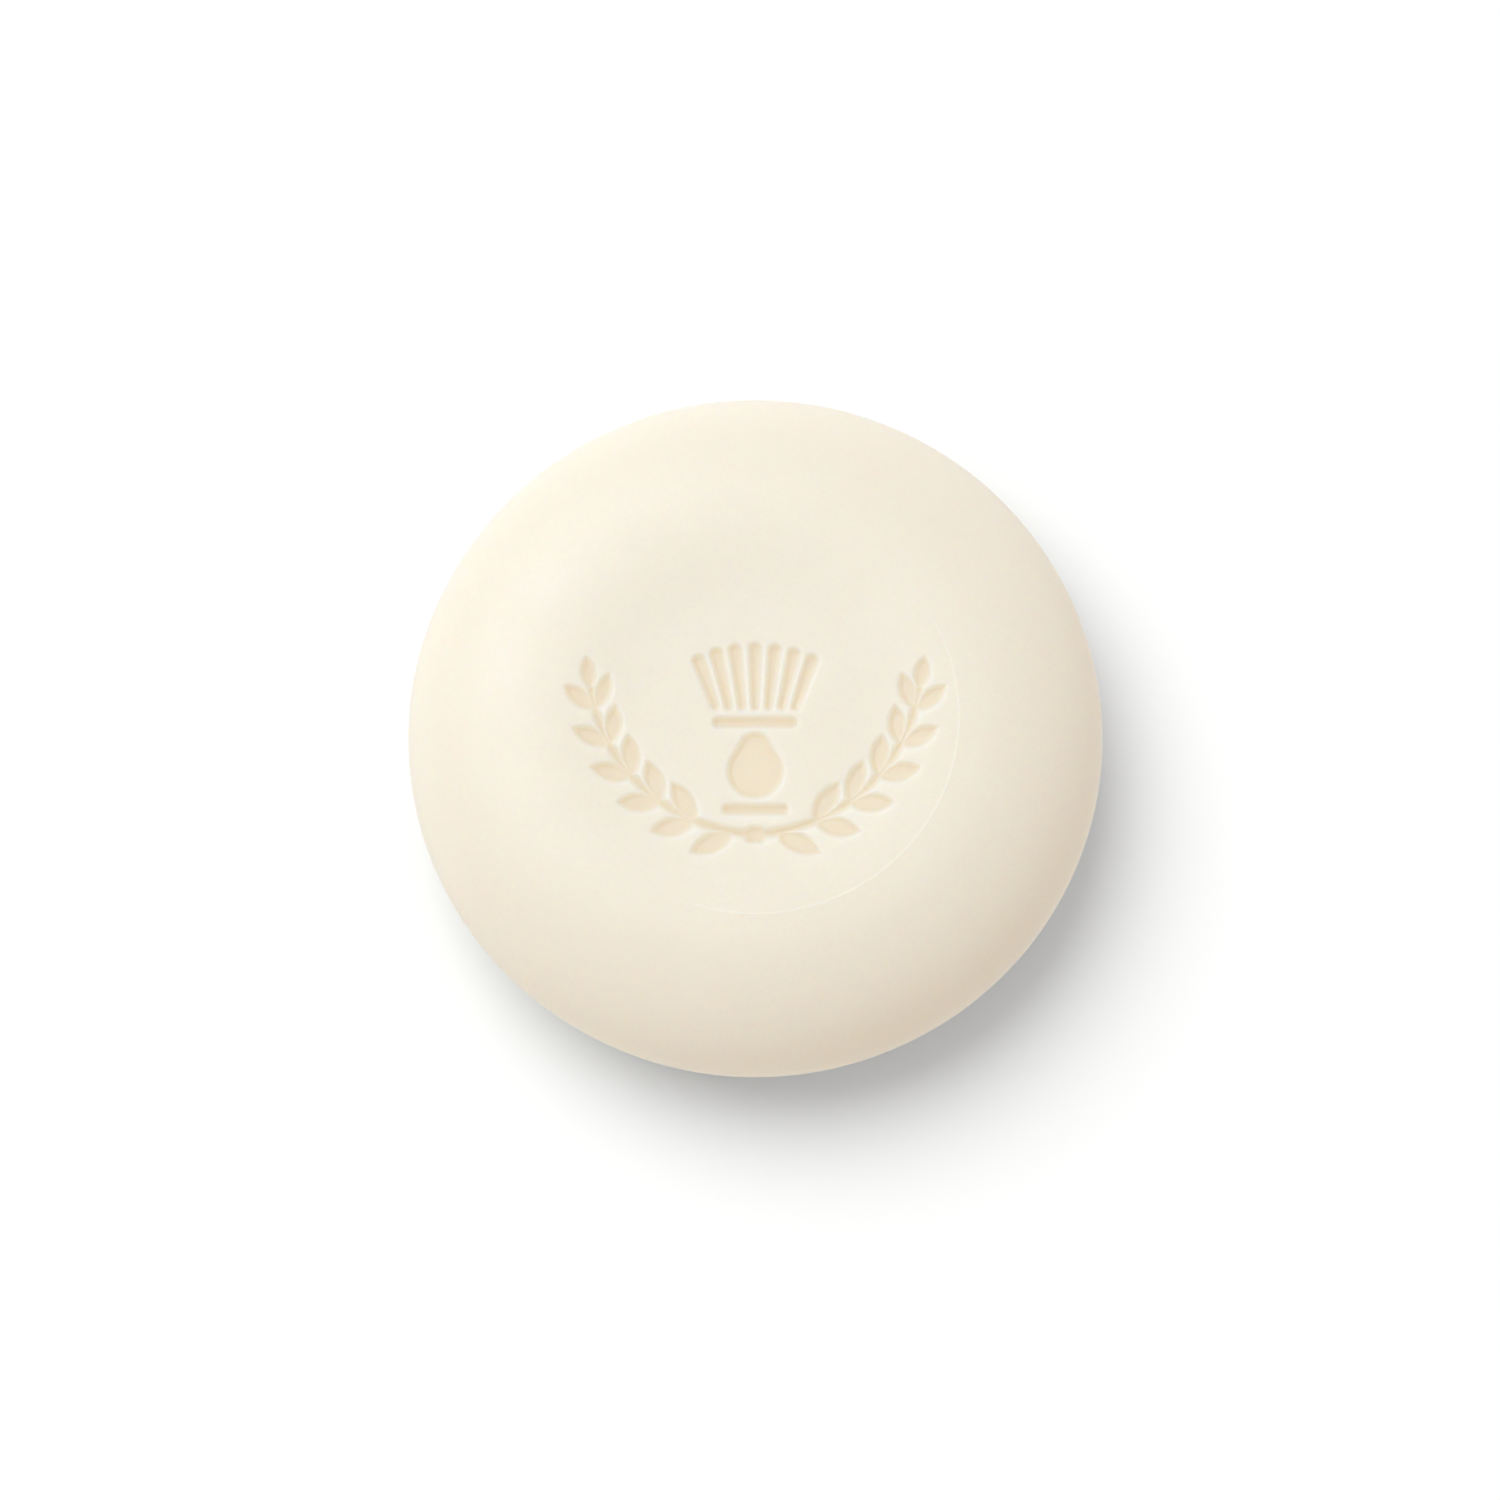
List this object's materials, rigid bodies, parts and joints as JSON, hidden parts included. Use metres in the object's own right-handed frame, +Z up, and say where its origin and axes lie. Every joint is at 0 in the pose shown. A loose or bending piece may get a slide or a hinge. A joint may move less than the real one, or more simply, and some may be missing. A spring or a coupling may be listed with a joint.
{
  "type": "shaving soap puck",
  "caption": "Round puck of hard shaving soap with a domed edge, a shallow stamped dish on top and a flat ring to stand on",
  "frame": {"origin": "on the surface that the puck stands on, under its centre", "axes": "+Z up through the stamped face, +Y towards the top of the stamp, +X to the stamp's right"},
  "size_m": [0.075, 0.075, 0.0214],
  "materials": {
    "soap": "smooth pressed cream soap with a soft satin sheen"
  },
  "bodies": {
    "root": {"soap_puck": "soap"}
  },
  "joints": []
}
